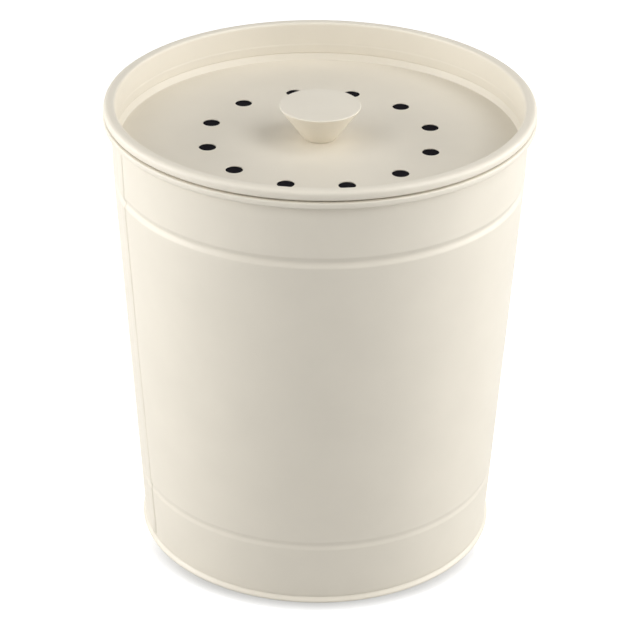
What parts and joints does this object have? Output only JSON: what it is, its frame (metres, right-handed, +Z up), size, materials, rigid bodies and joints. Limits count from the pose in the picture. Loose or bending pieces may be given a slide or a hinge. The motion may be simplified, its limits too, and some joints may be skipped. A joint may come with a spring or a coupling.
{
  "type": "countertop compost caddy with lid",
  "caption": "Round tapered sheet-metal compost caddy with a recessed, vented lift-off lid, a low flared knob, a lift-out plastic liner and a charcoal filter under the lid.",
  "frame": {"origin": "middle of the foot ring, on the worktop", "axes": "+Z up along the canister's axis, -Y towards the front as it is usually seen, lap seam on the -X side"},
  "size_m": [0.2124, 0.2124, 0.2349],
  "materials": {
    "canister_paint": "satin powder coat",
    "lid_paint": "satin powder coat",
    "knob_paint": "satin powder coat",
    "zinc_steel": "zinc plated",
    "charcoal_felt": "carbon-loaded felt",
    "cover_plastic": "moulded, fine texture",
    "nut_plastic": "moulded",
    "liner_plastic": "moulded, fine texture",
    "handle_plastic": "moulded"
  },
  "bodies": {
    "canister": {"canister_wall": "canister_paint", "side_seam": "canister_paint", "canister_base": "canister_paint"},
    "liner": {"liner_bucket": "liner_plastic"},
    "handle": {"liner_handle": "handle_plastic"},
    "lid": {"lid_pan": "lid_paint", "lid_knob": "knob_paint", "knob_stud": "zinc_steel", "knob_washer": "zinc_steel", "knob_lock_washer": "zinc_steel", "knob_nut": "zinc_steel"},
    "filter_cover": {"filter_cover": "cover_plastic", "charcoal_filter": "charcoal_felt"},
    "thumb_nut": {"thumb_nut": "nut_plastic"}
  },
  "joints": [
    {"name": "liner_lift", "type": "slide", "parent": "canister", "child": "liner", "axis": [0, 0, 1], "range_m": [0, 0.24]},
    {"name": "lid_lift", "type": "slide", "parent": "liner", "child": "lid", "axis": [0, 0, 1], "range_m": [0, 0.36]},
    {"name": "handle_swing", "type": "hinge", "parent": "liner", "child": "handle", "pos_m": [0, 0, 0.2084], "axis": [1, 0, 0], "range_deg": [0, 180]},
    {"name": "cover_drop", "type": "slide", "parent": "lid", "child": "filter_cover", "axis": [0, 0, -1], "range_m": [0, 0.008]},
    {"name": "nut_spin", "type": "hinge", "parent": "filter_cover", "child": "thumb_nut", "pos_m": [0, 0, 0.198], "axis": [0, 0, -1], "range_deg": [0, 3600]}
  ],
  "couplings": [
    {"joint": "handle_swing", "follows": "lid_lift", "rad_per_m": 8.6956},
    {"joint": "nut_spin", "follows": "cover_drop", "rad_per_m": 7854}
  ]
}
